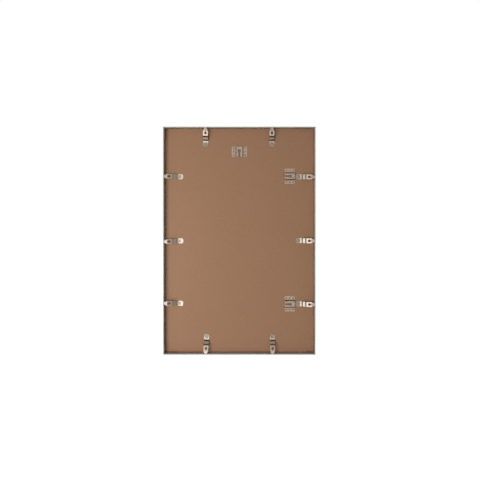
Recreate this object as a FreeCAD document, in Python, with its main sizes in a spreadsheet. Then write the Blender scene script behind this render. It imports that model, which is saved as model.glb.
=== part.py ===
"""A 40 x 60 cm aluminium picture frame whose back board is held by ten sprung clips.

The frame hangs upright: +Z is up, +X is to the right as seen from the front and +Y points at the
wall. The origin is where a nail carries the top hanger, on the wall plane. Left and right in every
name are as seen from the back, where the clips are worked.
"""

import FreeCAD, Part
import math
import os

import Sketcher
from FreeCAD import Placement, Rotation, Vector

# Driving dimensions in millimetres; names ending in share or shares are fractions, in turn degrees.
SIZES = {
    # Pane, sheet and board, from front to back
    "board_width": 399.0,
    "board_height": 599.0,
    "glass_thickness": 2.0,
    "sheet_thickness": 0.3,
    "board_thickness": 3.0,
    "board_chamfer": 0.6,
    # Profile: a wall, a lip round the front, and a bead and a rib that form the rear groove
    "frame_depth": 20.0,
    "wall_thickness": 1.2,
    "lip_width": 6.0,
    "lip_thickness": 1.4,
    "bead_reach": 0.9,
    "bead_thickness": 0.9,
    "rib_thickness": 0.6,
    "groove_width": 3.2,
    "board_to_bead": 0.4,
    "profile_round": 0.4,
    # Corner keys
    "key_leg": 32.0,
    "key_thickness": 2.2,
    "key_clearance": 0.1,
    "key_round": 1.0,
    # Clips: the length counts inwards from the frame's outer face
    "clip_length": 51.8,
    "strip_thickness": 0.6,
    "bend_radius": 1.8,
    "clip_width": 12.8,
    "foot_width": 14.0,
    "foot_round": 5.0,
    "foot_flare": 1.2,
    "foot_gap": 0.1,
    "foot_curl": 0.6,
    "nose_width": 4.8,
    "nose_gap": 0.3,
    "nose_clearance": 0.15,
    "hole_width": 7.2,
    "hole_apex_width": 2.2,
    "hole_nose_margin": 0.5,
    "hole_foot_margin": 3.4,
    "spur_inset": 4.2,
    "spur_reach": 3.0,
    "spur_slit": 2.2,
    "spur_wrap": 1.2,
    "clip_travel": 1.5,
    # The clip's bends: how far in, as shares of its length, and how high over the board, as shares
    # of its nose's height
    "shoulder_share": 0.2,
    "nose_end_share": 0.2,
    "tongue_end_share": 0.448,
    "joggle_end_share": 0.515,
    "ramp_end_share": 0.627,
    "step_end_share": 0.681,
    "foot_start_share": 0.761,
    "curl_start_share": 0.859,
    "nose_fall_share": 0.955,
    "tongue_fall_share": 0.732,
    "joggle_fall_share": 0.514,
    "ramp_fall_share": 0.318,
    "step_fall_share": 0.061,
    # Hangers
    "hanger_sheet": 0.8,
    "hanger_width": 41.4,
    "hanger_length": 27.2,
    "hanger_corner": 1.5,
    "hanger_bend": 0.6,
    "bridge_width": 15.0,
    "bridge_rise": 2.4,
    "bridge_wall_run": 2.6,
    "wall_bend_share": 0.41,
    "head_length": 8.0,
    "throat_width": 8.0,
    "throat_length": 5.0,
    "throat_bevel": 1.4,
    "throat_taper": 2.4,
    "slot_width": 5.2,
    "pin_hole_radius": 1.9,
    "pin_hole_margin": 4.5,
    "pin_hole_inset": 5.2,
    "window_width": 2.4,
    "window_land": 2.2,
    "window_margin": 0.8,
    "window_gap": 0.2,
    "tooth_length": 2.4,
    "tooth_tip": 0.8,
    "top_hanger_inset": 50.8,
    "hanger_gap": 0.3,
    "hanger_upper_share": 0.569,
    "hanger_lower_share": -0.564,
    # Where each clip stands along its side, as a share of half the side, and how far it is turned
    "clip_top_left_share": -0.444,
    "clip_top_left_turn": -1.5,
    "clip_top_right_share": 0.427,
    "clip_top_right_turn": 1.0,
    "clip_bottom_left_share": -0.442,
    "clip_bottom_left_turn": -1.6,
    "clip_bottom_right_share": 0.438,
    "clip_bottom_right_turn": 0.2,
    "clip_left_upper_share": 0.566,
    "clip_left_upper_turn": -0.7,
    "clip_left_middle_share": -0.009,
    "clip_left_middle_turn": 1.6,
    "clip_left_lower_share": -0.548,
    "clip_left_lower_turn": -4.4,
    "clip_right_upper_share": 0.558,
    "clip_right_upper_turn": -2.6,
    "clip_right_middle_share": -0.001,
    "clip_right_middle_turn": 0.5,
    "clip_right_lower_share": -0.56,
    "clip_right_lower_turn": 1.7,
    # How far every cut runs past the metal it cuts
    "overrun": 1.0,
}

# The four sides as seen from the back: the angle that carries the bottom side onto each.
SIDE_TURNS = {"bottom": 0, "right": 90, "top": 180, "left": 270}
CORNER_TURNS = {"bottom_left": 0, "bottom_right": 90, "top_right": 180, "top_left": 270}
CLIPS = {
    "clip_top_left": "top",
    "clip_top_right": "top",
    "clip_bottom_left": "bottom",
    "clip_bottom_right": "bottom",
    "clip_left_upper": "left",
    "clip_left_middle": "left",
    "clip_left_lower": "left",
    "clip_right_upper": "right",
    "clip_right_middle": "right",
    "clip_right_lower": "right",
}
# Windows, and so teeth, in each flange of a hanger
WINDOWS = 4
# The view from the back: its right is -X, its up is +Z, and it looks along -Y.
BACK_VIEW = Rotation(Vector(-1, 0, 0), Vector(0, 0, 1), Vector(0, 1, 0), "XYZ")

doc = FreeCAD.newDocument("clip_frame")
parts = []


class Size:
    """A length with the sheet expression that gives it."""

    def __init__(self, value, text):
        self.value = value
        self.text = text

    def __add__(self, other):
        return Size(self.value + other.value, f"({self.text} + {other.text})")

    def __sub__(self, other):
        return Size(self.value - other.value, f"({self.text} - {other.text})")

    def __mul__(self, factor):
        if isinstance(factor, Size):
            return Size(self.value * factor.value, f"({self.text} * {factor.text})")
        return Size(self.value * factor, f"({self.text} * {factor})")

    def __truediv__(self, divisor):
        return Size(self.value / divisor, f"({self.text} / {divisor})")

    def __neg__(self):
        return Size(-self.value, f"(0 - {self.text})")


class Sheet:
    """The sizes in the spreadsheet, read by name."""

    def __getattr__(self, name):
        return Size(SIZES[name], "Sizes." + name)


size = Sheet()
ZERO = Size(0.0, "0")


def make_sheet():
    sheet = doc.addObject("Spreadsheet::Sheet", "Sizes")
    for row, (name, value) in enumerate(SIZES.items(), start=1):
        sheet.set(f"A{row}", name)
        sheet.set(f"B{row}", str(value))
        sheet.setAlias(f"B{row}", name)
    doc.recompute()


# Sizes that several pieces share

bead_inner = size.wall_thickness + size.bead_reach
board_side = bead_inner + size.board_to_bead
outer_width = size.board_width + board_side * 2
outer_height = size.board_height + board_side * 2
glass_front = size.lip_thickness
sheet_front = glass_front + size.glass_thickness
board_front = sheet_front + size.sheet_thickness
board_rear = board_front + size.board_thickness
bead_front = size.frame_depth - size.bead_thickness
rib_rear = bead_front - size.groove_width
clip_nose = size.wall_thickness + size.nose_gap
nose_end = size.clip_length * size.nose_end_share
tongue_end = size.clip_length * size.tongue_end_share
step_end = size.clip_length * size.step_end_share
foot_start = size.clip_length * size.foot_start_share
seat_drop = size.top_hanger_inset + size.head_length
centre_height = seat_drop - outer_height / 2
bridge_foot = size.bridge_width / 2 + size.bridge_wall_run


# Sketches and features


def start_body(name):
    body = doc.addObject("PartDesign::Body", name)
    body.Label = name
    parts.append(body)
    return body


def start_sketch(body, name, role, lift=None):
    sketch = body.newObject("Sketcher::SketchObject", name)
    plane = next(f for f in body.Origin.OriginFeatures if f.Role == role)
    sketch.AttachmentSupport = [(plane, "")]
    sketch.MapMode = "FlatFace"
    if lift:
        sketch.AttachmentOffset = Placement(Vector(0, 0, lift.value), Rotation())
        sketch.setExpression("AttachmentOffset.Base.z", lift.text)
    return sketch


def pin_point(sketch, edge, end, x, y):
    """Fixes one end of an edge at (x, y) of the sketch."""
    for kind, axis, amount in (("DistanceX", -2, x), ("DistanceY", -1, y)):
        if amount is None:
            continue
        if amount is ZERO:
            sketch.addConstraint(Sketcher.Constraint("PointOnObject", edge, end, axis))
            continue
        rule = Sketcher.Constraint(kind, -1, 1, edge, end, amount.value)
        index = sketch.addConstraint(rule)
        sketch.setExpression(f"Constraints[{index}]", amount.text)


def arc_between(start, end, level, anticlockwise):
    """The arc from start to end whose centre lies at the height level."""
    chord_x = end.x - start.x
    rise = (end.y - level) ** 2 - (start.y - level) ** 2
    centre = Vector((end.x**2 - start.x**2 + rise) / (2 * chord_x), level, 0)
    first, last = (start, end) if anticlockwise else (end, start)
    circle = Part.Circle(centre, Vector(0, 0, 1), (start - centre).Length)
    angles = [math.atan2(p.y - centre.y, p.x - centre.x) for p in (first, last)]
    return Part.ArcOfCircle(circle, angles[0], angles[1])


def add_outline(sketch, corners, arcs=None):
    """Draws a closed outline through the corners, each an (x, y) pair of sizes.

    arcs gives, for the edge that leaves a corner, its centre's height and whether it runs
    anticlockwise.
    """
    arcs = arcs or {}
    points = [Vector(x.value, y.value, 0) for x, y in corners]
    first = sketch.GeometryCount
    count = len(corners)
    ends = []
    for index, start in enumerate(points):
        end = points[(index + 1) % count]
        if index in arcs:
            level, anticlockwise = arcs[index]
            sketch.addGeometry(arc_between(start, end, level.value, anticlockwise))
            ends.append((1, 2) if anticlockwise else (2, 1))
        else:
            sketch.addGeometry(Part.LineSegment(start, end))
            ends.append((1, 2))
    for index, (x, y) in enumerate(corners):
        edge = first + index
        before = first + (index - 1) % count
        leave = ends[index][0]
        arrive = ends[(index - 1) % count][1]
        sketch.addConstraint(Sketcher.Constraint("Coincident", before, arrive, edge, leave))
        pin_point(sketch, edge, leave, x, y)
    for index, (level, _) in arcs.items():
        pin_point(sketch, first + index, 3, None, level)


def add_circle(sketch, x, y, radius):
    circle = Part.Circle(Vector(x.value, y.value, 0), Vector(0, 0, 1), radius.value)
    edge = sketch.addGeometry(circle)
    pin_point(sketch, edge, 3, x, y)
    index = sketch.addConstraint(Sketcher.Constraint("Radius", edge, radius.value))
    sketch.setExpression(f"Constraints[{index}]", radius.text)


def add_box(sketch, low_x, low_y, high_x, high_y):
    add_outline(sketch, [(low_x, low_y), (high_x, low_y), (high_x, high_y), (low_x, high_y)])


def mirrored(corners):
    """The same outline on the other side of the sketch's upright axis."""
    return [(x if x is ZERO else -x, y) for x, y in reversed(corners)]


def pad(body, sketch, name, length, both_ways=False, reverse=False):
    feature = body.newObject("PartDesign::Pad", name)
    feature.Profile = sketch
    feature.Length = length.value
    feature.setExpression("Length", length.text)
    feature.SideType = "Symmetric" if both_ways else "One side"
    feature.Reversed = reverse
    sketch.Visibility = False


def cut_through(body, sketch, name):
    """Cuts the sketch through the whole piece, both ways, and makes sure that metal went."""
    doc.recompute()
    before = body.Shape.Volume
    feature = body.newObject("PartDesign::Pocket", name)
    feature.Profile = sketch
    feature.Type = "ThroughAll"
    feature.SideType = "Symmetric"
    sketch.Visibility = False
    doc.recompute()
    if not body.Shape.Volume < before:
        raise RuntimeError(f"{name} in {body.Label} cuts nothing")


def find_edges(shape, wanted):
    """The names of the shape's straight edges that the test picks by middle and direction."""
    names = []
    for index, edge in enumerate(shape.Edges, start=1):
        if edge.Curve.TypeId != "Part::GeomLine":
            continue
        start, end = (v.Point for v in edge.Vertexes)
        if wanted((start + end) / 2, (end - start).normalize()):
            names.append(f"Edge{index}")
    return names


def dress(body, kind, name, setting, amount, wanted):
    """Rounds or chamfers the edges that the test picks on the body's last feature."""
    doc.recompute()
    base = body.Tip
    names = find_edges(base.Shape, wanted)
    if not names:
        raise RuntimeError(f"{name} in {body.Label} finds no edge")
    feature = body.newObject("PartDesign::" + kind, name)
    feature.Base = (base, names)
    setattr(feature, setting, amount.value)
    feature.setExpression(setting, amount.text)
    doc.recompute()


def round_edges(body, name, radius, wanted):
    dress(body, "Fillet", name, "Radius", radius, wanted)


def same(value, amount):
    """Whether a measured length is the size that it is compared with."""
    return abs(value - amount.value) < 1e-6 * max(1.0, abs(amount.value))


def place(body, turn, across, up, lean=0.0):
    """Sets a piece on the frame's back view: (across, up) is from the middle of the frame."""
    rotation = BACK_VIEW * Rotation(Vector(0, 0, 1), turn + lean)
    base = Vector(-across.value, -size.frame_depth.value, centre_height.value + up.value)
    body.Placement = Placement(base, rotation)
    body.setExpression("Placement.Base.x", (-across).text)
    body.setExpression("Placement.Base.y", (-size.frame_depth).text)
    body.setExpression("Placement.Base.z", (centre_height + up).text)


def place_on_side(body, side, share=None, lean=0.0):
    """Sets a piece on the middle of a side's outer face, or a share of half the side along it."""
    if side in ("top", "bottom"):
        across = outer_width / 2 * share if share else ZERO
        up = outer_height / 2 if side == "top" else -(outer_height / 2)
    else:
        across = outer_width / 2 if side == "right" else -(outer_width / 2)
        up = outer_height / 2 * share if share else ZERO
    place(body, SIDE_TURNS[side], across, up, lean)


# Pieces. Each is drawn in its side's own frame: X along the side, Y inwards from the frame's outer
# face and Z backwards from the frame's front face.


def make_profile(side):
    """One mitred length of the aluminium profile."""
    body = start_body("profile_" + side)
    length = outer_width if side in ("top", "bottom") else outer_height
    wall = size.wall_thickness
    rib_front = rib_rear - size.rib_thickness
    section = start_sketch(body, "section", "YZ_Plane")
    add_outline(
        section,
        [
            (ZERO, ZERO),
            (size.lip_width, ZERO),
            (size.lip_width, size.lip_thickness),
            (wall, size.lip_thickness),
            (wall, rib_front),
            (bead_inner, rib_front),
            (bead_inner, rib_rear),
            (wall, rib_rear),
            (wall, bead_front),
            (bead_inner, bead_front),
            (bead_inner, size.frame_depth),
            (ZERO, size.frame_depth),
        ],
    )
    pad(body, section, "extrusion", length, both_ways=True)
    rounded = [
        (ZERO, ZERO),
        (size.lip_width, ZERO),
        (bead_inner, size.frame_depth),
        (ZERO, size.frame_depth),
    ]

    def on_rounded_corner(middle, direction):
        corner = any(same(middle.y, y) and same(middle.z, z) for y, z in rounded)
        return corner and abs(direction.x) > 0.5

    round_edges(body, "corner_rounds", size.profile_round, on_rounded_corner)
    mitres = start_sketch(body, "mitres", "XY_Plane")
    reach = size.lip_width + size.overrun
    triangle = [(length / 2, ZERO), (length / 2 + size.overrun, ZERO)]
    triangle += [(length / 2 + size.overrun, reach), (length / 2 - reach, reach)]
    add_outline(mitres, triangle)
    add_outline(mitres, mirrored(triangle))
    cut_through(body, mitres, "mitre_cuts")
    place_on_side(body, side)


def make_corner_key(corner):
    """An angle key that joins two profiles in their rear groove."""
    body = start_body("corner_key_" + corner)
    outer = size.wall_thickness
    inner = outer + size.key_thickness
    front = rib_rear + size.key_clearance
    plan = start_sketch(body, "plan", "XY_Plane", front)
    add_outline(
        plan,
        [
            (outer, outer),
            (size.key_leg, outer),
            (size.key_leg, inner),
            (inner, inner),
            (inner, size.key_leg),
            (outer, size.key_leg),
        ],
    )
    pad(body, plan, "leg_pad", size.groove_width - size.key_clearance * 2)

    def on_leg_end(middle, direction):
        at_end = same(middle.x, size.key_leg) or same(middle.y, size.key_leg)
        on_inner_face = same(middle.x, inner) or same(middle.y, inner)
        return at_end and on_inner_face and abs(direction.z) > 0.5

    round_edges(body, "leg_ends", size.key_round, on_leg_end)
    half_width = outer_width / 2
    half_height = outer_height / 2
    across = half_width if "right" in corner else -half_width
    up = half_height if "top" in corner else -half_height
    place(body, CORNER_TURNS[corner], across, up)


def make_pane(name, front, thickness):
    """A flat sheet of the board's outline, drawn about the middle of the frame."""
    body = start_body(name)
    outline = start_sketch(body, "outline", "XY_Plane", front)
    half_width = size.board_width / 2
    half_height = size.board_height / 2
    add_box(outline, -half_width, -half_height, half_width, half_height)
    pad(body, outline, "sheet_pad", thickness)
    place(body, 0, ZERO, ZERO)
    return body


def make_back_board():
    body = make_pane("back_board", board_front, size.board_thickness)

    def on_rear_face(middle, direction):
        return same(middle.z, board_rear)

    dress(body, "Chamfer", "rear_chamfer", "Size", size.board_chamfer, on_rear_face)


def clip_bends():
    """The clip's underside from nose to foot, as (inwards, backwards) points."""
    nose_under = bead_front - size.nose_clearance - size.strip_thickness
    nose_height = nose_under - board_rear
    joggle_end = size.clip_length * size.joggle_end_share
    ramp_end = size.clip_length * size.ramp_end_share
    curl_start = size.clip_length * size.curl_start_share
    return [
        (clip_nose, nose_under),
        (nose_end, board_rear + nose_height * size.nose_fall_share),
        (tongue_end, board_rear + nose_height * size.tongue_fall_share),
        (joggle_end, board_rear + nose_height * size.joggle_fall_share),
        (ramp_end, board_rear + nose_height * size.ramp_fall_share),
        (step_end, board_rear + nose_height * size.step_fall_share),
        (foot_start, board_rear + size.foot_gap),
        (curl_start, board_rear + size.foot_gap),
        (size.clip_length, board_rear + size.foot_gap + size.foot_curl),
    ]


def offset_points(points, distance):
    """The points of a line that runs at a distance to the left of the given one."""
    directions = [(b - a).normalize() for a, b in zip(points, points[1:])]
    normals = [Vector(-d.y, d.x, 0) for d in directions]
    result = [points[0] + normals[0] * distance]
    for index in range(1, len(points) - 1):
        middle = normals[index - 1] + normals[index]
        result.append(points[index] + middle * (2 * distance / middle.dot(middle)))
    result.append(points[-1] + normals[-1] * distance)
    return result


def draw_strip(sketch, under, thickness):
    """Draws a bent strip: its underside is pinned and its top runs parallel to it."""
    low = [Vector(y.value, z.value, 0) for y, z in under]
    high = offset_points(low, thickness.value)
    count = len(low)
    ring = low + high[::-1]
    for index, start in enumerate(ring):
        sketch.addGeometry(Part.LineSegment(start, ring[(index + 1) % len(ring)]))
    for index in range(len(ring)):
        rule = Sketcher.Constraint("Coincident", index - 1 if index else len(ring) - 1, 2, index, 1)
        sketch.addConstraint(rule)
    for index, (y, z) in enumerate(under):
        pin_point(sketch, index, 1, y, z)
    for index in range(count - 1):
        top = 2 * count - 2 - index
        sketch.addConstraint(Sketcher.Constraint("Parallel", index, top))
        rule = Sketcher.Constraint("Distance", top, 1, index, thickness.value)
        number = sketch.addConstraint(rule)
        sketch.setExpression(f"Constraints[{number}]", thickness.text)
    for end, neighbour in ((count - 1, count - 2), (2 * count - 1, 0)):
        sketch.addConstraint(Sketcher.Constraint("Perpendicular", end, neighbour))
    return low, high


def make_clip(name, side):
    """A sprung steel clip: its nose hooks under the bead and its foot presses on the board."""
    body = start_body(name)
    section = start_sketch(body, "strip", "YZ_Plane")
    low, high = draw_strip(section, clip_bends(), size.strip_thickness)
    pad(body, section, "strip_pad", size.foot_width, both_ways=True)
    inner_bends = []
    outer_bends = []
    for index in range(1, len(low) - 1):
        before = low[index] - low[index - 1]
        after = low[index + 1] - low[index]
        rises = before.cross(after).z > 0
        inner_bends.append(high[index] if rises else low[index])
        outer_bends.append(low[index] if rises else high[index])

    def at_bends(bends):
        def wanted(middle, direction):
            near = any(abs(middle.y - b.x) + abs(middle.z - b.y) < 1e-4 for b in bends)
            return near and abs(direction.x) > 0.5

        return wanted

    round_edges(body, "inner_bends", size.bend_radius, at_bends(inner_bends))
    outer_radius = size.bend_radius + size.strip_thickness
    round_edges(body, "outer_bends", outer_radius, at_bends(outer_bends))
    trim_clip(body)

    def on_foot_corner(middle, direction):
        at_side = same(abs(middle.x), size.foot_width / 2)
        at_tip = middle.y > (foot_start + size.clip_length).value / 2
        return at_side and at_tip and abs(direction.z) > abs(direction.y)

    round_edges(body, "foot_corners", size.foot_round, on_foot_corner)
    share = getattr(size, name + "_share")
    lean = getattr(size, name + "_turn")
    place_on_side(body, side, share, lean.value)


def trim_clip(body):
    """Cuts the strip to its outline and pierces its hole and its spur."""
    half_nose = size.nose_width / 2
    half_body = size.clip_width / 2
    half_foot = size.foot_width / 2
    past_side = half_foot + size.overrun
    past_nose = clip_nose - size.overrun
    shoulder = size.clip_length * size.shoulder_share
    waste = [
        (half_nose, past_nose),
        (past_side, past_nose),
        (past_side, step_end),
        (half_foot, step_end),
        (half_body, step_end - size.foot_flare),
        (half_body, shoulder),
        (half_nose, clip_nose),
    ]
    outline = start_sketch(body, "outline", "XY_Plane")
    add_outline(outline, waste)
    add_outline(outline, mirrored(waste))
    cut_through(body, outline, "outline_cut")
    hole = start_sketch(body, "hole", "XY_Plane")
    half_hole = size.hole_width / 2
    half_apex = size.hole_apex_width / 2
    apex = nose_end + size.hole_nose_margin
    centre = tongue_end - size.hole_foot_margin - half_hole
    teardrop = [(-half_apex, apex), (half_apex, apex), (half_hole, centre), (-half_hole, centre)]
    add_outline(hole, teardrop, {2: (centre, True)})
    cut_through(body, hole, "hole_cut")
    spur = start_sketch(body, "spur", "XY_Plane")
    middle = foot_start + size.spur_inset
    neck = middle + size.spur_wrap
    outer = size.spur_reach
    inner = outer - size.spur_slit
    crescent = [(outer, neck), (-outer, neck), (-inner, neck), (inner, neck)]
    add_outline(spur, crescent, {0: (middle, False), 2: (middle, True)})
    cut_through(body, spur, "spur_cut")


def make_hanger(name, side, inset, share=None):
    """A stamped hanger: two flanges with teeth in the board, and a raised bridge with a slot."""
    body = start_body(name)
    sheet = size.hanger_sheet
    half_plate = size.hanger_width / 2
    half_bridge = size.bridge_width / 2
    bend = sheet * size.wall_bend_share
    under = board_rear + size.bridge_rise
    flange_top = board_rear + sheet
    bridge_top = under + sheet
    section = start_sketch(body, "section", "XZ_Plane", -inset)
    hat = [(half_plate, board_rear), (half_plate, flange_top), (bridge_foot, flange_top)]
    hat += [(half_bridge, bridge_top)]
    hollow = [(half_bridge - bend, under), (bridge_foot - bend, board_rear)]
    add_outline(section, hat + mirrored(hat) + mirrored(hollow) + hollow)
    pad(body, section, "hat_pad", size.hanger_length, reverse=True)

    def on_bridge_edge(middle, direction):
        at_side = same(abs(middle.x), half_bridge) and same(middle.z, bridge_top)
        return at_side and abs(direction.y) > 0.5

    def on_plate_corner(middle, direction):
        return same(abs(middle.x), half_plate) and abs(direction.z) > 0.5

    round_edges(body, "bridge_bends", size.hanger_bend, on_bridge_edge)
    round_edges(body, "plate_corners", size.hanger_corner, on_plate_corner)
    cut_slot(body, inset)
    pierce_flanges(body, inset)
    add_teeth(body, inset)
    place_on_side(body, side, share)


def cut_slot(body, inset):
    """The way in for the nail: open at the far end, wider under the solid head."""
    half_throat = size.throat_width / 2
    half_slot = size.slot_width / 2
    seat = inset + size.head_length
    throat_end = seat + size.throat_length
    slot_start = throat_end + size.throat_taper
    past_end = inset + size.hanger_length + size.overrun
    right = [
        (half_throat - size.throat_bevel, seat),
        (half_throat, seat + size.throat_bevel),
        (half_throat, throat_end),
        (half_slot, slot_start),
        (half_slot, past_end),
    ]
    slot = start_sketch(body, "slot", "XY_Plane")
    add_outline(slot, right + mirrored(right))
    cut_through(body, slot, "slot_cut")


def window_spans(inset):
    """Where each window of a flange begins and ends: they share the plate's length."""
    room = size.hanger_length - size.window_margin * 2 - size.window_land * (WINDOWS - 1)
    length = room / WINDOWS
    pitch = length + size.window_land
    starts = [inset + size.window_margin + pitch * step for step in range(WINDOWS)]
    return [(start, start + length) for start in starts]


def pierce_flanges(body, inset):
    """Three pin holes and a row of tooth windows in each flange."""
    pins = start_sketch(body, "pin_holes", "XY_Plane")
    across = size.hanger_width / 2 - size.pin_hole_inset
    middle = inset + size.hanger_length / 2
    pitch = size.hanger_length / 2 - size.pin_hole_margin
    for step in (-1, 0, 1):
        along = middle + pitch * step
        add_circle(pins, across, along, size.pin_hole_radius)
        add_circle(pins, -across, along, size.pin_hole_radius)
    cut_through(body, pins, "pin_hole_cuts")
    windows = start_sketch(body, "windows", "XY_Plane")
    near = bridge_foot + size.window_gap
    far = near + size.window_width
    for start, stop in window_spans(inset):
        add_box(windows, near, start, far, stop)
        add_box(windows, -far, start, -near, stop)
    cut_through(body, windows, "window_cuts")


def add_teeth(body, inset):
    """The teeth are bent down from the windows' outer edges into the board."""
    sheet = size.hanger_sheet
    far = bridge_foot + size.window_gap + size.window_width
    top = board_rear + sheet
    point = board_rear - size.tooth_length
    for label, lift in (("right", far - sheet), ("left", -far)):
        teeth = start_sketch(body, "teeth_" + label, "YZ_Plane", lift)
        for start, stop in window_spans(inset):
            middle = (start + stop) / 2
            half_tip = size.tooth_tip / 2
            tooth = [(start, top), (start, board_rear), (middle - half_tip, point)]
            tooth += [(middle + half_tip, point), (stop, board_rear), (stop, top)]
            add_outline(teeth, tooth)
        pad(body, teeth, "tooth_pads_" + label, sheet)


def check_all():
    """Stops on any failed object, and on any piece that isn't a sound solid."""
    doc.recompute()
    for thing in doc.Objects:
        if "Invalid" in thing.State or "Error" in thing.State:
            raise RuntimeError(f"{thing.Name} ({thing.Label}) failed: {thing.State}")
        if thing.TypeId == "Sketcher::SketchObject" and not thing.FullyConstrained:
            raise RuntimeError(f"{thing.Name} isn't fully constrained")
    for piece in parts:
        shape = piece.Shape
        if shape.isNull() or not shape.isValid() or len(shape.Solids) != 1:
            raise RuntimeError(f"{piece.Label} isn't one sound solid")


def main():
    make_sheet()
    for side in SIDE_TURNS:
        make_profile(side)
    for corner in CORNER_TURNS:
        make_corner_key(corner)
    make_pane("front_glass", glass_front, size.glass_thickness)
    make_pane("insert_sheet", sheet_front, size.sheet_thickness)
    make_back_board()
    for name, side in CLIPS.items():
        make_clip(name, side)
    side_inset = size.clip_length + size.clip_travel + size.hanger_gap
    make_hanger("hanger_top", "top", size.top_hanger_inset)
    make_hanger("hanger_right_upper", "right", side_inset, size.hanger_upper_share)
    make_hanger("hanger_right_lower", "right", side_inset, size.hanger_lower_share)
    check_all()
    os.makedirs("parts", exist_ok=True)
    for piece in parts:
        piece.Shape.exportStep(f"parts/{piece.Label}.step")
        print(piece.Label, [round(v, 3) for v in (piece.Shape.Volume, piece.Shape.Area)])


main()
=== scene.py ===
"""Finishes, lights and camera for a silver picture frame whose back board is held by sprung clips.

Lengths are in metres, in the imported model's own frame: +Z is up, +Y points at the wall, and left
and right in names are as seen from the back.
"""

import math
from collections import namedtuple

import bpy
from bpy.props import FloatProperty, FloatVectorProperty, PointerProperty
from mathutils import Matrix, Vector


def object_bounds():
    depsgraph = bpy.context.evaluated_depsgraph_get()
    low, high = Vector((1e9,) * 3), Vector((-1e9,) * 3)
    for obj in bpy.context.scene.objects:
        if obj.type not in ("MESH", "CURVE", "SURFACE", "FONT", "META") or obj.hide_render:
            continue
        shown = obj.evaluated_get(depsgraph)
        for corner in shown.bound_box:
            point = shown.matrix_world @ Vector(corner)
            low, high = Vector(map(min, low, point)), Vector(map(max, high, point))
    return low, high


bl_info = {
    "name": "Clip Frame Finishes",
    "version": (1, 0, 0),
    "blender": (4, 5, 0),
    "location": "View3D > Sidebar > Clip Frame",
    "description": "Finishes, lights and camera for a metal picture frame with a clipped back",
    "category": "Material",
}

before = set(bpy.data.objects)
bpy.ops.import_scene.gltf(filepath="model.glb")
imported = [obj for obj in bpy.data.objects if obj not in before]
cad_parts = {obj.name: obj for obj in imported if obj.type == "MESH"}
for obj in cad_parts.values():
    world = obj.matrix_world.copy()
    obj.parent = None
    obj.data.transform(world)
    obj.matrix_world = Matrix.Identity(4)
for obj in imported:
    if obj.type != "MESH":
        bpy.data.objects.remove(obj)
CAD_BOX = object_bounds()
CENTRE = (CAD_BOX[0] + CAD_BOX[1]) / 2
MM = 0.001

# The photograph is square. Each of its pixels shows this many millimetres of the plane of the
# frame's rear rim, and the frame's middle lies these parts of a pixel left of the picture's and
# below it.
PICTURE_PIXELS = 480
PIXEL_MM = 2.646
FRAME_LEFT, FRAME_BELOW = 0.7, 0.8
VIEW_WIDTH = PICTURE_PIXELS * PIXEL_MM * MM
# The width of the camera's sensor in millimetres
SENSOR = 36.0

SIDES = {"top": "X", "bottom": "X", "left": "Z", "right": "Z"}
CORNERS = ("top_left", "top_right", "bottom_left", "bottom_right")
HANGERS = ("hanger_top", "hanger_right_upper", "hanger_right_lower")


def linear(hex_colour):
    """An sRGB hex colour as linear red, green and blue."""
    shares = [int(hex_colour[i : i + 2], 16) / 255 for i in (1, 3, 5)]
    return tuple(s / 12.92 if s <= 0.04045 else ((s + 0.055) / 1.055) ** 2.4 for s in shares)


def colour_property(name, hex_colour, description):
    return FloatVectorProperty(
        name=name,
        description=description,
        subtype="COLOR",
        size=3,
        min=0.0,
        max=1.0,
        default=linear(hex_colour),
    )


def length_property(name, millimetres, description):
    return FloatProperty(
        name=name, description=description, unit="LENGTH", min=0.0, default=millimetres * MM
    )


def share_property(name, default, description):
    return FloatProperty(
        name=name, description=description, subtype="FACTOR", min=0.0, max=1.0, default=default
    )


# Nodes

# The middle of a noise, where most of it lies, and how strong each finer layer of it is
NOISE_LOW, NOISE_HIGH = 0.3, 0.7
NOISE_ROUGHNESS = 0.6


def add_node(owner, kind, inputs=None, **settings):
    """Adds a node to a material or the world. Each input is a value or the socket that feeds it."""
    tree = owner.node_tree
    node = tree.nodes.new(kind)
    for name, value in settings.items():
        setattr(node, name, value)
    for name, value in (inputs or {}).items():
        if isinstance(value, bpy.types.NodeSocket):
            tree.links.new(value, node.inputs[name])
        else:
            node.inputs[name].default_value = value
    return node


def start_material(name):
    material = bpy.data.materials.new(name)
    material.use_nodes = True
    material.node_tree.nodes.clear()
    return material


def finish_material(material, inputs):
    """Closes a material with one Principled shader."""
    surface = add_node(material, "ShaderNodeBsdfPrincipled", inputs)
    add_node(material, "ShaderNodeOutputMaterial", {"Surface": surface.outputs[0]})
    return material


def rgba(colour):
    return (*colour, 1.0)


def grain(material, spacing, detail=2.0, distortion=0.0):
    """Soft noise whose marks are as long as spacing, a length for each of X, Y and Z."""
    place = add_node(material, "ShaderNodeTexCoord")
    scaled = add_node(
        material,
        "ShaderNodeMapping",
        {"Vector": place.outputs["Object"], "Scale": [1 / s for s in spacing]},
    )
    noise = add_node(
        material,
        "ShaderNodeTexNoise",
        {
            "Vector": scaled.outputs[0],
            "Scale": 1.0,
            "Detail": detail,
            "Roughness": NOISE_ROUGHNESS,
            "Distortion": distortion,
        },
    )
    return noise.outputs[0]


def specks(material, size, detail=2.0, distortion=0.0):
    """Soft noise whose marks are as long as they are wide."""
    return grain(material, (size,) * 3, detail, distortion)


def along(axis, length, width):
    """The spacing of marks that run along X or Z."""
    return (length, width, width) if axis == "X" else (width, width, length)


def between(material, noise, low, high):
    """Stretches the middle of a noise to run from low to high."""
    stretched = add_node(
        material,
        "ShaderNodeMapRange",
        {
            "Value": noise,
            "From Min": NOISE_LOW,
            "From Max": NOISE_HIGH,
            "To Min": low,
            "To Max": high,
        },
    )
    return stretched.outputs[0]


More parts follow.
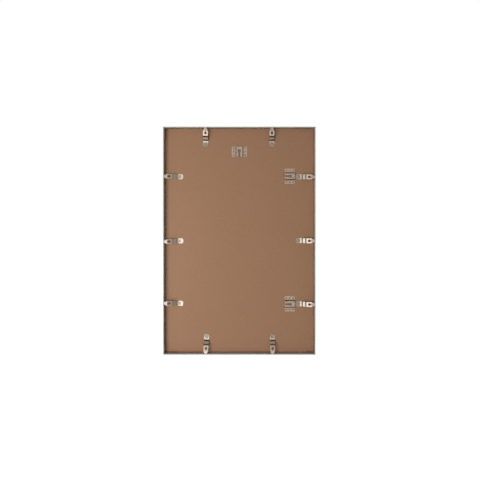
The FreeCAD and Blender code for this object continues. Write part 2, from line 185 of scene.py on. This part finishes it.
def blend_colours(owner, share, first, second):
    mix = add_node(owner, "ShaderNodeMix", {0: share, 6: first, 7: second}, data_type="RGBA")
    return mix.outputs[2]


def mottled(material, noise, first, second):
    """Runs from one colour to another through the middle of a noise."""
    share = between(material, noise, 0.0, 1.0)
    return blend_colours(material, share, rgba(first), rgba(second))


def relief(material, height, texture):
    """A bump of the texture's real depth."""
    bump = add_node(
        material,
        "ShaderNodeBump",
        {"Height": height, "Distance": texture.depth, "Strength": texture.strength},
    )
    return bump.outputs[0]


def uneven(material, noise, roughness, texture):
    """Lets the roughness wander around its setting."""
    return between(material, noise, roughness - texture.smoother, roughness + texture.rougher)


def paint(material, *names):
    """Gives carried-over CAD nodes their finish."""
    for name in names:
        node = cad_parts[name]
        if not node.material_slots:
            raise RuntimeError(f"{name} has no material slot")
        for slot in node.material_slots:
            slot.link = "OBJECT"
            slot.material = material


# Finishes

# A surface's texture: how deep its relief is, how strongly that shows, and how far its roughness
# falls and rises around its setting
Texture = namedtuple("Texture", "depth strength smoother rougher", defaults=(0.0, 0.0))
ETCHED = Texture(0.03 * MM, 0.5, 0.04, 0.05)
AS_CAST = Texture(0.05 * MM, 0.6, 0.06, 0.08)
FELTED = Texture(0.02 * MM, 0.5)
HOT_PRESSED = Texture(0.03 * MM, 0.4, 0.05, 0.06)
COLD_ROLLED = Texture(0.01 * MM, 0.5, 0.05, 0.06)

# How long the marks are that the die and the rolls leave
DIE_LINE_LENGTH = 180 * MM
ROLLING_LINE_LENGTH = 14 * MM

GLASS_IOR = 1.52
PAPER_ROUGHNESS = 0.92
PAPER_SPECULAR = 0.25
RESIN_SKIN_SPECULAR = 0.8
# The broad clouds of the hardboard cover the fibres by up to this share.
BOARD_CLOUD_SHARE = 0.5
# A bark fleck, as shares of the distance between flecks: solid to the first, gone at the second
FLECK_CORE, FLECK_EDGE = 0.06, 0.12
FLECK_SHARE = 0.55


def mitre_line(material, look):
    """The dark hairline where two mitres meet, as a share."""
    place = add_node(material, "ShaderNodeTexCoord")
    centred = add_node(
        material,
        "ShaderNodeVectorMath",
        {0: place.outputs["Object"], 1: CENTRE},
        operation="SUBTRACT",
    )
    folded = add_node(
        material, "ShaderNodeVectorMath", {0: centred.outputs[0]}, operation="ABSOLUTE"
    )
    parts = add_node(material, "ShaderNodeSeparateXYZ", {0: folded.outputs[0]})
    rise = add_node(
        material,
        "ShaderNodeMath",
        {0: parts.outputs["Z"], 1: parts.outputs["X"]},
        operation="SUBTRACT",
    )
    # The mitre plane is where the height above the middle exceeds the distance across by half of
    # what the frame is taller than wide.
    size = CAD_BOX[1] - CAD_BOX[0]
    on_mitre = add_node(
        material,
        "ShaderNodeMath",
        {0: rise.outputs[0], 1: (size.z - size.x) / 2, 2: look.mitre_line},
        operation="COMPARE",
    )
    return on_mitre.outputs[0]


def anodised_aluminium(look, axis):
    """Extruded, satin-etched and anodised aluminium.

    It gives a soft silver sheen that draws out along the length, with faint die lines, and a fine
    dark line where two mitres meet. The etched oxide also scatters a little light, as paper does.
    """
    material = start_material("anodised_aluminium_along_" + axis.lower())
    # Die lines are about 0.3 mm apart, too fine to show, so they are drawn 1.2 mm apart.
    lines = grain(material, along(axis, DIE_LINE_LENGTH, look.die_line_spacing))
    clouds = specks(material, look.cloud_size)
    metal = mottled(material, lines, look.colour, look.line_colour)
    return finish_material(
        material,
        {
            "Base Color": blend_colours(
                material, mitre_line(material, look), metal, rgba(look.mitre_colour)
            ),
            "Metallic": look.metallic,
            "Roughness": uneven(material, clouds, look.roughness, ETCHED),
            "Normal": relief(material, lines, ETCHED),
        },
    )


def cast_zinc(look):
    """Die-cast zinc, left as it came from the die: a dull, slightly pebbled grey."""
    material = start_material("die_cast_zinc")
    pebbles = specks(material, look.pebble_size, detail=3.0)
    clouds = specks(material, look.cloud_size)
    return finish_material(
        material,
        {
            "Base Color": mottled(material, clouds, look.colour, look.cloud_colour),
            "Metallic": 1.0,
            "Roughness": uneven(material, pebbles, look.roughness, AS_CAST),
            "Normal": relief(material, pebbles, AS_CAST),
        },
    )


def float_glass(look):
    """Clear float glass: flat, hardly tinted, with the faint haze of a wiped pane."""
    material = start_material("clear_float_glass")
    haze = grain(material, along("Z", look.wipe_width, look.wipe_length), detail=3.0)
    glass = add_node(
        material,
        "ShaderNodeBsdfPrincipled",
        {
            "Base Color": rgba(look.colour),
            "Roughness": between(material, haze, 0.0, look.haze),
            "IOR": GLASS_IOR,
            "Transmission Weight": 1.0,
        },
    )
    # Lamps shine through a real pane, so shadow rays pass.
    clear = add_node(material, "ShaderNodeBsdfTransparent", {"Color": rgba(look.colour)})
    rays = add_node(material, "ShaderNodeLightPath")
    either = add_node(
        material,
        "ShaderNodeMixShader",
        {0: rays.outputs["Is Shadow Ray"], 1: glass.outputs[0], 2: clear.outputs[0]},
    )
    add_node(material, "ShaderNodeOutputMaterial", {"Surface": either.outputs[0]})
    return material


def uncoated_paper(look):
    """Uncoated paper: matt off-white, with the faint clouding of its pulp."""
    material = start_material("uncoated_paper")
    pulp = specks(material, look.cloud_size, detail=4.0)
    fibres = specks(material, look.fibre_size, detail=3.0)
    return finish_material(
        material,
        {
            "Base Color": mottled(material, pulp, look.colour, look.cloud_colour),
            "Roughness": PAPER_ROUGHNESS,
            "Specular IOR Level": PAPER_SPECULAR,
            "Normal": relief(material, fibres, FELTED),
        },
    )


def hardboard(look):
    """Wet-felted, hot-pressed hardboard, smooth side out.

    Pressed wood fibre gives a warm brown with fine mottling, scattered dark bark flecks and the low
    sheen of the press plate. The hot resin skin reflects a little more than bare wood.
    """
    material = start_material("pressed_hardboard")
    # Fibres are about 0.1 mm wide; bundles of them are drawn 3 mm wide, as coarse as they need to
    # show.
    fibres = specks(material, look.fibre_size, detail=5.0, distortion=1.4)
    clouds = specks(material, look.cloud_size, detail=1.0)
    body = mottled(material, fibres, look.colour, look.fibre_colour)
    clouded = blend_colours(
        material,
        between(material, clouds, 0.0, BOARD_CLOUD_SHARE),
        body,
        rgba(look.cloud_colour),
    )
    place = add_node(material, "ShaderNodeTexCoord")
    flecks = add_node(
        material,
        "ShaderNodeTexVoronoi",
        {"Vector": place.outputs["Object"], "Scale": 1 / look.fleck_spacing},
    )
    fleck = add_node(
        material,
        "ShaderNodeMapRange",
        {
            "Value": flecks.outputs["Distance"],
            "From Min": FLECK_CORE,
            "From Max": FLECK_EDGE,
            "To Min": FLECK_SHARE,
            "To Max": 0.0,
        },
    )
    return finish_material(
        material,
        {
            "Base Color": blend_colours(
                material, fleck.outputs[0], clouded, rgba(look.fleck_colour)
            ),
            "Roughness": uneven(material, fibres, look.roughness, HOT_PRESSED),
            "Specular IOR Level": RESIN_SKIN_SPECULAR,
            "Normal": relief(material, fibres, HOT_PRESSED),
        },
    )


def plated_steel(look, name, axis):
    """Cold-rolled steel, stamped and bright zinc plated.

    The plating gives a clear silver mirror softened by fine rolling lines and a faint cloudiness.
    """
    material = start_material(f"{name}_along_{axis.lower()}")
    # Rolling lines are about 0.1 mm apart, drawn 0.6 mm apart, as wide as they need to show.
    lines = grain(material, along(axis, ROLLING_LINE_LENGTH, look.line_spacing))
    clouds = specks(material, look.cloud_size)
    return finish_material(
        material,
        {
            # The plating colours' warm cast is partly a painted reflection of the brown board
            # around the metal.
            "Base Color": mottled(material, clouds, look.colour, look.cloud_colour),
            "Metallic": 1.0,
            "Roughness": uneven(material, lines, look.roughness, COLD_ROLLED),
            "Normal": relief(material, lines, COLD_ROLLED),
        },
    )


# Settings


class ProfileSettings(bpy.types.PropertyGroup):
    colour: colour_property("Aluminium", "#EAE7E2", "Colour of the anodised aluminium")
    line_colour: colour_property("Die lines", "#DAD7D2", "Colour of the extrusion's die lines")
    mitre_colour: colour_property("Mitre line", "#4B4946", "Colour of the joint between mitres")
    die_line_spacing: length_property("Die line spacing", 1.2, "Distance between die lines")
    mitre_line: length_property("Mitre line", 0.3, "Half the height of the dark joint line")
    cloud_size: length_property("Cloud size", 35.0, "Size of the clouds in the etched oxide")
    roughness: share_property("Roughness", 0.56, "How far the satin etch spreads a reflection")
    metallic: share_property("Metallic", 0.7, "How little of the light the etched oxide scatters")


class CornerKeySettings(bpy.types.PropertyGroup):
    colour: colour_property("Zinc", "#D2D1CF", "Colour of the cast zinc")
    cloud_colour: colour_property("Clouding", "#BFBEBC", "Colour of its darker clouds")
    pebble_size: length_property("Pebble size", 0.8, "Size of the casting's surface grain")
    cloud_size: length_property("Cloud size", 9.0, "Size of the clouds in the casting")
    roughness: share_property("Roughness", 0.55, "How dull the casting is")


class GlassSettings(bpy.types.PropertyGroup):
    colour: colour_property("Glass", "#FEFFFE", "Tint of the pane")
    haze: share_property("Haze", 0.03, "Roughness where the pane has been wiped")
    wipe_length: length_property("Wipe length", 60.0, "Length of the streaks that wiping leaves")
    wipe_width: length_property("Wipe width", 25.0, "Width of the streaks that wiping leaves")


class PaperSettings(bpy.types.PropertyGroup):
    colour: colour_property("Paper", "#F3F2EF", "Colour of the insert sheet")
    cloud_colour: colour_property("Pulp clouds", "#EBE8E1", "Colour of its denser pulp")
    cloud_size: length_property("Cloud size", 12.0, "Size of the clouds in the pulp")
    fibre_size: length_property("Fibre size", 0.6, "Size of the surface's fibre relief")


class BoardSettings(bpy.types.PropertyGroup):
    colour: colour_property("Board", "#9F775B", "Main colour of the hardboard")
    fibre_colour: colour_property("Fibres", "#8F694C", "Colour of its darker fibre bundles")
    cloud_colour: colour_property("Clouding", "#997256", "Colour of its broad darker clouds")
    fleck_colour: colour_property("Flecks", "#6C4A37", "Colour of the bark flecks")
    fibre_size: length_property("Fibre bundles", 3.0, "Size of the fibre mottling")
    cloud_size: length_property("Cloud size", 90.0, "Size of the broad clouds")
    fleck_spacing: length_property("Fleck spacing", 9.0, "Distance between bark flecks")
    roughness: share_property("Roughness", 0.48, "How matt the pressed face is")


class ClipSettings(bpy.types.PropertyGroup):
    # The warm cast of this colour is partly the plating's own and partly a painted reflection of
    # the brown board beside it.
    colour: colour_property("Plating", "#F0EAE1", "Colour of the bright zinc plating")
    cloud_colour: colour_property("Clouding", "#E2DBD1", "Colour of its faint clouds")
    line_spacing: length_property("Rolling lines", 0.6, "Distance between rolling lines")
    cloud_size: length_property("Cloud size", 5.0, "Size of the clouds in the plating")
    roughness: share_property("Roughness", 0.3, "How far the plating spreads a reflection")


class HangerSettings(bpy.types.PropertyGroup):
    # The warm cast of this colour is partly the plating's own and partly a painted reflection of
    # the brown board beside it.
    colour: colour_property("Plating", "#F4ECE2", "Colour of the zinc plating")
    cloud_colour: colour_property("Clouding", "#DDD2C6", "Colour of its clouds")
    line_spacing: length_property("Rolling lines", 0.6, "Distance between rolling lines")
    cloud_size: length_property("Cloud size", 4.0, "Size of the clouds in the plating")
    roughness: share_property("Roughness", 0.42, "How far the plating spreads a reflection")


class StudioSettings(bpy.types.PropertyGroup):
    camera_distance: length_property("Camera distance", 950.0, "From the lens to the rear rim")
    camera_rise: length_property("Camera rise", 100.0, "How far the lens is above the middle")
    camera_aside: length_property("Camera aside", 30.0, "How far the lens is right of the middle")
    floor_drop: length_property("Floor drop", 600.0, "From the frame's bottom edge to the floor")
    key_turn: FloatProperty(
        name="Key turn",
        description="How far left of the camera the key light stands, as seen from the back",
        subtype="ANGLE",
        default=math.radians(33),
    )
    key_tilt: FloatProperty(
        name="Key tilt",
        description="How far below the frame's middle the key light stands",
        subtype="ANGLE",
        default=math.radians(4),
    )
    light_distance: length_property(
        "Light distance", 1500.0, "From the frame's middle to each of the two lights"
    )
    light_width: length_property("Light width", 975.0, "Width and height of each light")
    key_power: FloatProperty(
        name="Key power", description="Power of the key light in watts", default=17.5
    )
    fill_power: FloatProperty(
        name="Fill power", description="Power of the light on the front in watts", default=22.0
    )
    room: share_property("Room light", 0.38, "How brightly the surroundings light the frame")
    side: share_property("Sides", 0.02, "Brightness that metal shows of the room's sides")
    behind: share_property(
        "Behind", 0.39, "Brightness that metal shows of the room behind the lens"
    )
    walls: share_property("Walls", 0.24, "How much brighter the walls left and right are")
    room_tint: colour_property(
        "Room tint", "#FFE8D4", "Warm tint of the dim room that metal shows"
    )
    window_glow: FloatProperty(
        name="Window glow", description="How bright metal shows the room's window", default=1.1
    )
    window_turn: FloatProperty(
        name="Window turn",
        description="How far left of the camera that window is, as seen from the back",
        subtype="ANGLE",
        default=math.radians(23),
    )
    window_tilt: FloatProperty(
        name="Window tilt",
        description="How far below the camera's height that window is",
        subtype="ANGLE",
        default=math.radians(12),
    )
    floor_colour: colour_property("Floor", "#C8C8C6", "Colour of the pale floor")


class ClipFrameSettings(bpy.types.PropertyGroup):
    profile: PointerProperty(type=ProfileSettings)
    corner_key: PointerProperty(type=CornerKeySettings)
    glass: PointerProperty(type=GlassSettings)
    paper: PointerProperty(type=PaperSettings)
    board: PointerProperty(type=BoardSettings)
    clip: PointerProperty(type=ClipSettings)
    hanger: PointerProperty(type=HangerSettings)
    studio: PointerProperty(type=StudioSettings)


# Operators

WHITE = (1.0, 1.0, 1.0)
TOWARDS_FILL = Vector((-0.45, -0.8, 0.4)).normalized()
# Half the floor's width
FLOOR_REACH = 8.0
# The floor's glow fades out within this distance of the frame's plane, on both sides of it.
FLOOR_GLOW_FADE = 0.2

# The room that metal shows, by how far a direction points at the camera, from -1 at the backdrop
# to 1 behind the lens. The backdrop's white fades out, the sides are dim, and the rest brightens.
BACKDROP_END = -0.6
BACKDROP_FADE, BACKDROP_FADE_GLOW = -0.35, 0.5
SIDES_START, SIDES_END = -0.1, 0.6
BEHIND_START = 0.96
# The walls left and right brighten between these shares of straight sideways.
WALLS_START, WALLS_FULL = 0.3, 0.8
# How far the window reaches along X, Y and Z of a direction that is 1 long, and the shares of that
# at which its soft edge starts and ends
WINDOW_REACH = (0.42, 0.44, 0.32)
WINDOW_CORE, WINDOW_EDGE = 0.65, 1.15


class CLIPFRAME_OT_finish_profiles(bpy.types.Operator):
    """Give the four mitred profiles their anodised aluminium"""

    bl_idname = "clipframe.finish_profiles"
    bl_label = "Finish profiles"

    def execute(self, context):
        look = context.scene.clip_frame.profile
        metals = {axis: anodised_aluminium(look, axis) for axis in ("X", "Z")}
        for side, axis in SIDES.items():
            paint(metals[axis], "profile_" + side)
        return {"FINISHED"}


class CLIPFRAME_OT_finish_corner_keys(bpy.types.Operator):
    """Give the four corner keys their cast zinc"""

    bl_idname = "clipframe.finish_corner_keys"
    bl_label = "Finish corner keys"

    def execute(self, context):
        look = context.scene.clip_frame.corner_key
        paint(cast_zinc(look), *("corner_key_" + corner for corner in CORNERS))
        return {"FINISHED"}


class CLIPFRAME_OT_finish_glass(bpy.types.Operator):
    """Give the pane its clear float glass"""

    bl_idname = "clipframe.finish_glass"
    bl_label = "Finish pane"

    def execute(self, context):
        paint(float_glass(context.scene.clip_frame.glass), "front_glass")
        return {"FINISHED"}


class CLIPFRAME_OT_finish_insert_sheet(bpy.types.Operator):
    """Give the insert sheet its plain paper"""

    bl_idname = "clipframe.finish_insert_sheet"
    bl_label = "Finish insert sheet"

    def execute(self, context):
        paint(uncoated_paper(context.scene.clip_frame.paper), "insert_sheet")
        return {"FINISHED"}


class CLIPFRAME_OT_finish_back_board(bpy.types.Operator):
    """Give the back board its brown hardboard"""

    bl_idname = "clipframe.finish_back_board"
    bl_label = "Finish back board"

    def execute(self, context):
        paint(hardboard(context.scene.clip_frame.board), "back_board")
        return {"FINISHED"}


class CLIPFRAME_OT_finish_clips(bpy.types.Operator):
    """Give the ten sprung clips their bright plated steel"""

    bl_idname = "clipframe.finish_clips"
    bl_label = "Finish clips"

    def execute(self, context):
        look = context.scene.clip_frame.clip
        steels = {axis: plated_steel(look, "plated_spring_steel", axis) for axis in ("X", "Z")}
        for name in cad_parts:
            if name.startswith("clip_"):
                across = "X" if name.split("_")[1] in ("left", "right") else "Z"
                paint(steels[across], name)
        return {"FINISHED"}


class CLIPFRAME_OT_finish_hangers(bpy.types.Operator):
    """Give the three stamped hangers their plated steel"""

    bl_idname = "clipframe.finish_hangers"
    bl_label = "Finish hangers"

    def execute(self, context):
        look = context.scene.clip_frame.hanger
        steels = {axis: plated_steel(look, "plated_sheet_steel", axis) for axis in ("X", "Z")}
        for name in HANGERS:
            paint(steels["Z" if name == "hanger_top" else "X"], name)
        return {"FINISHED"}


class CLIPFRAME_OT_build_studio(bpy.types.Operator):
    """Build the floor, the lights, the white surroundings and the camera"""

    bl_idname = "clipframe.build_studio"
    bl_label = "Build studio"

    def execute(self, context):
        studio = context.scene.clip_frame.studio
        context.scene.view_settings.view_transform = "Standard"
        towards_key = self.direction(studio.key_turn, studio.key_tilt)
        self.build_world(context, studio)
        self.build_floor(context, studio)
        self.add_softbox(context, "key_softbox", towards_key, studio, studio.key_power)
        self.add_softbox(context, "fill_softbox", TOWARDS_FILL, studio, studio.fill_power)
        self.add_camera(context, studio)
        return {"FINISHED"}

    def direction(self, turn, tilt):
        """Towards a light that stands left of the camera and below it, as seen from the back."""
        return Vector(
            (math.sin(turn) * math.cos(tilt), math.cos(turn) * math.cos(tilt), -math.sin(tilt))
        )

    def seen_glow(self, owner, glow, base):
        """base for light, glow for what metal and glass show, and white for the camera."""
        rays = add_node(owner, "ShaderNodeLightPath")
        shown = add_node(
            owner,
            "ShaderNodeMath",
            {0: rays.outputs["Is Glossy Ray"], 1: rays.outputs["Is Transmission Ray"]},
            operation="MAXIMUM",
        )
        in_metal = blend_colours(owner, shown.outputs[0], rgba((base,) * 3), glow)
        return blend_colours(owner, rays.outputs["Is Camera Ray"], in_metal, rgba(WHITE))

    def room_by_depth(self, owner, depth, studio):
        """White towards the backdrop, dim towards the sides, and brighter behind the lens."""
        share = add_node(owner, "ShaderNodeMapRange", {"Value": depth, "From Min": -1.0})
        band = add_node(owner, "ShaderNodeValToRGB", {"Fac": share.outputs[0]})
        stops = (
            (BACKDROP_END, 1.0, WHITE),
            (BACKDROP_FADE, BACKDROP_FADE_GLOW, WHITE),
            (SIDES_START, studio.side, studio.room_tint),
            (SIDES_END, studio.side, studio.room_tint),
            (BEHIND_START, studio.behind, studio.room_tint),
            (1.0, studio.behind, studio.room_tint),
        )
        ramp = band.color_ramp.elements
        while len(ramp) < len(stops):
            # Each stop gets its own place below.
            ramp.new(0.5)
        for element, (towards_camera, glow, tint) in zip(ramp, stops):
            element.position = (towards_camera + 1) / 2
            element.color = rgba([glow * t for t in tint])
        return band.outputs[0]

    def side_walls(self, owner, across, studio):
        """The walls left and right of the lens, a little brighter than floor and ceiling."""
        sideways = add_node(owner, "ShaderNodeMath", {0: across}, operation="ABSOLUTE")
        share = add_node(
            owner,
            "ShaderNodeMapRange",
            {
                "Value": sideways.outputs[0],
                "From Min": WALLS_START,
                "From Max": WALLS_FULL,
                "To Max": studio.walls,
            },
            interpolation_type="SMOOTHSTEP",
        )
        walls = add_node(
            owner,
            "ShaderNodeVectorMath",
            {0: studio.room_tint, "Scale": share.outputs[0]},
            operation="SCALE",
        )
        return walls.outputs[0]

    def soft_window(self, owner, direction, studio):
        """One soft bright patch."""
        towards_window = self.direction(studio.window_turn, studio.window_tilt)
        offset = add_node(
            owner, "ShaderNodeVectorMath", {0: direction, 1: towards_window}, operation="SUBTRACT"
        )
        scaled = add_node(
            owner,
            "ShaderNodeVectorMath",
            {0: offset.outputs[0], 1: [1 / r for r in WINDOW_REACH]},
            operation="MULTIPLY",
        )
        reach = add_node(
            owner, "ShaderNodeVectorMath", {0: scaled.outputs[0]}, operation="LENGTH"
        )
        patch = add_node(
            owner,
            "ShaderNodeMapRange",
            {
                "Value": reach.outputs["Value"],
                "From Min": WINDOW_CORE,
                "From Max": WINDOW_EDGE,
                "To Min": studio.window_glow,
                "To Max": 0.0,
            },
            interpolation_type="SMOOTHSTEP",
        )
        return patch.outputs[0]

    def mirrored_room(self, owner, studio):
        """What metal shows: a white backdrop, and a dim warm room with one soft bright window."""
        direction = add_node(owner, "ShaderNodeTexCoord").outputs["Generated"]
        parts = add_node(owner, "ShaderNodeSeparateXYZ", {0: direction})
        room = self.room_by_depth(owner, parts.outputs["Y"], studio)
        for part in (
            self.side_walls(owner, parts.outputs["X"], studio),
            self.soft_window(owner, direction, studio),
        ):
            room = add_node(
                owner, "ShaderNodeVectorMath", {0: room, 1: part}, operation="ADD"
            ).outputs[0]
        return room

    def build_world(self, context, studio):
        world = bpy.data.worlds.new("white_surroundings")
        world.use_nodes = True
        world.node_tree.nodes.clear()
        glow = self.seen_glow(world, self.mirrored_room(world, studio), studio.room)
        light = add_node(world, "ShaderNodeBackground", {"Color": glow})
        add_node(world, "ShaderNodeOutputWorld", {"Surface": light.outputs[0]})
        context.scene.world = world

    def backdrop_glow(self, owner):
        """White on the side of the backdrop, -Y, and none behind the camera."""
        place = add_node(owner, "ShaderNodeTexCoord")
        parts = add_node(owner, "ShaderNodeSeparateXYZ", {0: place.outputs["Object"]})
        fade = add_node(
            owner,
            "ShaderNodeMapRange",
            {
                "Value": parts.outputs["Y"],
                "From Min": -FLOOR_GLOW_FADE,
                "From Max": FLOOR_GLOW_FADE,
                "To Min": 1.0,
                "To Max": 0.0,
            },
        )
        return fade.outputs[0]

    def floor_paint(self, studio):
        """Matt paint that takes the frame's shadow and shows white to the camera."""
        material = start_material("matt_floor_paint")
        glow = self.seen_glow(material, self.backdrop_glow(material), 0.0)
        matt = add_node(
            material, "ShaderNodeBsdfDiffuse", {"Color": rgba(studio.floor_colour)}
        )
        light = add_node(material, "ShaderNodeEmission", {"Color": glow})
        both = add_node(
            material, "ShaderNodeAddShader", {0: matt.outputs[0], 1: light.outputs[0]}
        )
        add_node(material, "ShaderNodeOutputMaterial", {"Surface": both.outputs[0]})
        return material

    def build_floor(self, context, studio):
        mesh = bpy.data.meshes.new("floor")
        height = CAD_BOX[0].z - studio.floor_drop
        corners = [
            (x * FLOOR_REACH, y * FLOOR_REACH, height)
            for x, y in ((-1, -1), (1, -1), (1, 1), (-1, 1))
        ]
        mesh.from_pydata(corners, [], [(0, 1, 2, 3)])
        mesh.materials.append(self.floor_paint(studio))
        floor = bpy.data.objects.new("floor", mesh)
        context.scene.collection.objects.link(floor)
        # Metal shows the world through it, so that the window isn't cut off at the horizon.
        floor.visible_glossy = False

    def add_softbox(self, context, name, direction, studio, power):
        """A square light that faces the frame's middle. Metal shows the world's window instead."""
        lamp = bpy.data.lights.new(name, "AREA")
        lamp.shape = "SQUARE"
        lamp.size = studio.light_width
        lamp.energy = power
        light = bpy.data.objects.new(name, lamp)
        light.location = CENTRE + direction * studio.light_distance
        light.rotation_euler = direction.to_track_quat("Z", "Y").to_euler()
        light.visible_camera = False
        light.visible_glossy = False
        context.scene.collection.objects.link(light)

    def add_camera(self, context, studio):
        """The lens looks straight along -Y from behind the frame, shifted to centre the frame."""
        lens = bpy.data.cameras.new("camera")
        lens.sensor_width = SENSOR
        lens.lens = SENSOR * studio.camera_distance / VIEW_WIDTH
        lens.shift_x = FRAME_LEFT / PICTURE_PIXELS - studio.camera_aside / VIEW_WIDTH
        lens.shift_y = FRAME_BELOW / PICTURE_PIXELS - studio.camera_rise / VIEW_WIDTH
        camera = bpy.data.objects.new("camera", lens)
        camera.location = (
            CENTRE.x - studio.camera_aside,
            CAD_BOX[1].y + studio.camera_distance,
            CENTRE.z + studio.camera_rise,
        )
        camera.rotation_euler = (math.radians(90), 0, math.radians(180))
        context.scene.collection.objects.link(camera)
        context.scene.camera = camera


OPERATORS = (
    CLIPFRAME_OT_finish_profiles,
    CLIPFRAME_OT_finish_corner_keys,
    CLIPFRAME_OT_finish_glass,
    CLIPFRAME_OT_finish_insert_sheet,
    CLIPFRAME_OT_finish_back_board,
    CLIPFRAME_OT_finish_clips,
    CLIPFRAME_OT_finish_hangers,
    CLIPFRAME_OT_build_studio,
)


class CLIPFRAME_PT_sidebar(bpy.types.Panel):
    bl_label = "Clip Frame"
    bl_idname = "CLIPFRAME_PT_sidebar"
    bl_space_type = "VIEW_3D"
    bl_region_type = "UI"
    bl_category = "Clip Frame"

    def draw(self, context):
        settings = context.scene.clip_frame
        for operator in OPERATORS:
            self.layout.operator(operator.bl_idname)
        for name in ClipFrameSettings.__annotations__:
            group = getattr(settings, name)
            box = self.layout.box()
            box.label(text=name.replace("_", " ").capitalize())
            for field in group.__annotations__:
                box.prop(group, field)


CLASSES = (
    ProfileSettings,
    CornerKeySettings,
    GlassSettings,
    PaperSettings,
    BoardSettings,
    ClipSettings,
    HangerSettings,
    StudioSettings,
    ClipFrameSettings,
    *OPERATORS,
    CLIPFRAME_PT_sidebar,
)


def register():
    for cls in CLASSES:
        bpy.utils.register_class(cls)
    bpy.types.Scene.clip_frame = PointerProperty(type=ClipFrameSettings)


def unregister():
    del bpy.types.Scene.clip_frame
    for cls in reversed(CLASSES):
        bpy.utils.unregister_class(cls)


def main():
    register()
    bpy.ops.clipframe.finish_profiles()
    bpy.ops.clipframe.finish_corner_keys()
    bpy.ops.clipframe.finish_glass()
    bpy.ops.clipframe.finish_insert_sheet()
    bpy.ops.clipframe.finish_back_board()
    bpy.ops.clipframe.finish_clips()
    bpy.ops.clipframe.finish_hangers()
    bpy.ops.clipframe.build_studio()


if __name__ == "__main__":
    main()
